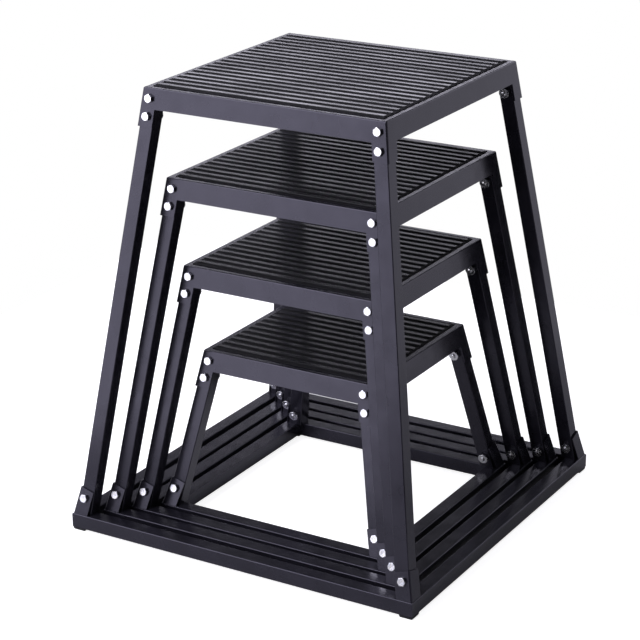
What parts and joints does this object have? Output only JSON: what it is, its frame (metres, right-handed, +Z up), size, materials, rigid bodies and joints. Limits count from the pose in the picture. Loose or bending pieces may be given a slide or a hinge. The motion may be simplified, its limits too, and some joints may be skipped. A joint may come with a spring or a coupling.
{
  "type": "nesting plyo box set",
  "caption": "Nested open steel plyo boxes on square base rings: leaning tube legs bolted to folded deck trays, ribbed rubber mats on top; each box lifts off the smaller one inside it.",
  "frame": {"origin": "floor level on the common upright centre line of the nested boxes", "axes": "+Z up; -Y to the front, the side in the picture with bolt heads on it; +X to the right"},
  "size_m": [0.655, 0.655, 0.762],
  "materials": {
    "powder_coat": "satin black powder coat on steel",
    "mat_rubber": "ribbed black rubber with a slight sheen",
    "foot_plastic": "matt black moulded plastic",
    "zinc": "bright zinc plated steel"
  },
  "bodies": {
    "box_12in": {"box_12in_base_rail_front": "powder_coat", "box_12in_base_rail_right": "powder_coat", "box_12in_base_rail_rear": "powder_coat", "box_12in_base_rail_left": "powder_coat", "box_12in_leg_front_left": "powder_coat", "box_12in_leg_front_right": "powder_coat", "box_12in_leg_rear_right": "powder_coat", "box_12in_leg_rear_left": "powder_coat", "box_12in_feet": "foot_plastic", "box_12in_base_sockets": "powder_coat", "box_12in_deck_tray": "powder_coat", "box_12in_deck_mat": "mat_rubber", "box_12in_bolts": "zinc", "box_12in_nuts": "zinc"},
    "box_18in": {"box_18in_base_rail_front": "powder_coat", "box_18in_base_rail_right": "powder_coat", "box_18in_base_rail_rear": "powder_coat", "box_18in_base_rail_left": "powder_coat", "box_18in_leg_front_left": "powder_coat", "box_18in_leg_front_right": "powder_coat", "box_18in_leg_rear_right": "powder_coat", "box_18in_leg_rear_left": "powder_coat", "box_18in_feet": "foot_plastic", "box_18in_base_sockets": "powder_coat", "box_18in_deck_tray": "powder_coat", "box_18in_deck_mat": "mat_rubber", "box_18in_bolts": "zinc", "box_18in_nuts": "zinc"},
    "box_24in": {"box_24in_base_rail_front": "powder_coat", "box_24in_base_rail_right": "powder_coat", "box_24in_base_rail_rear": "powder_coat", "box_24in_base_rail_left": "powder_coat", "box_24in_leg_front_left": "powder_coat", "box_24in_leg_front_right": "powder_coat", "box_24in_leg_rear_right": "powder_coat", "box_24in_leg_rear_left": "powder_coat", "box_24in_feet": "foot_plastic", "box_24in_base_sockets": "powder_coat", "box_24in_deck_tray": "powder_coat", "box_24in_deck_mat": "mat_rubber", "box_24in_bolts": "zinc", "box_24in_nuts": "zinc"},
    "box_30in": {"box_30in_base_rail_front": "powder_coat", "box_30in_base_rail_right": "powder_coat", "box_30in_base_rail_rear": "powder_coat", "box_30in_base_rail_left": "powder_coat", "box_30in_leg_front_left": "powder_coat", "box_30in_leg_front_right": "powder_coat", "box_30in_leg_rear_right": "powder_coat", "box_30in_leg_rear_left": "powder_coat", "box_30in_feet": "foot_plastic", "box_30in_base_sockets": "powder_coat", "box_30in_deck_tray": "powder_coat", "box_30in_deck_mat": "mat_rubber", "box_30in_bolts": "zinc", "box_30in_nuts": "zinc"}
  },
  "joints": [
    {"name": "lift_18in", "type": "slide", "parent": "box_12in", "child": "box_18in", "axis": [0, 0, 1], "range_m": [0, 0.32]},
    {"name": "lift_24in", "type": "slide", "parent": "box_18in", "child": "box_24in", "axis": [0, 0, 1], "range_m": [0, 0.47]},
    {"name": "lift_30in", "type": "slide", "parent": "box_24in", "child": "box_30in", "axis": [0, 0, 1], "range_m": [0, 0.62]}
  ]
}
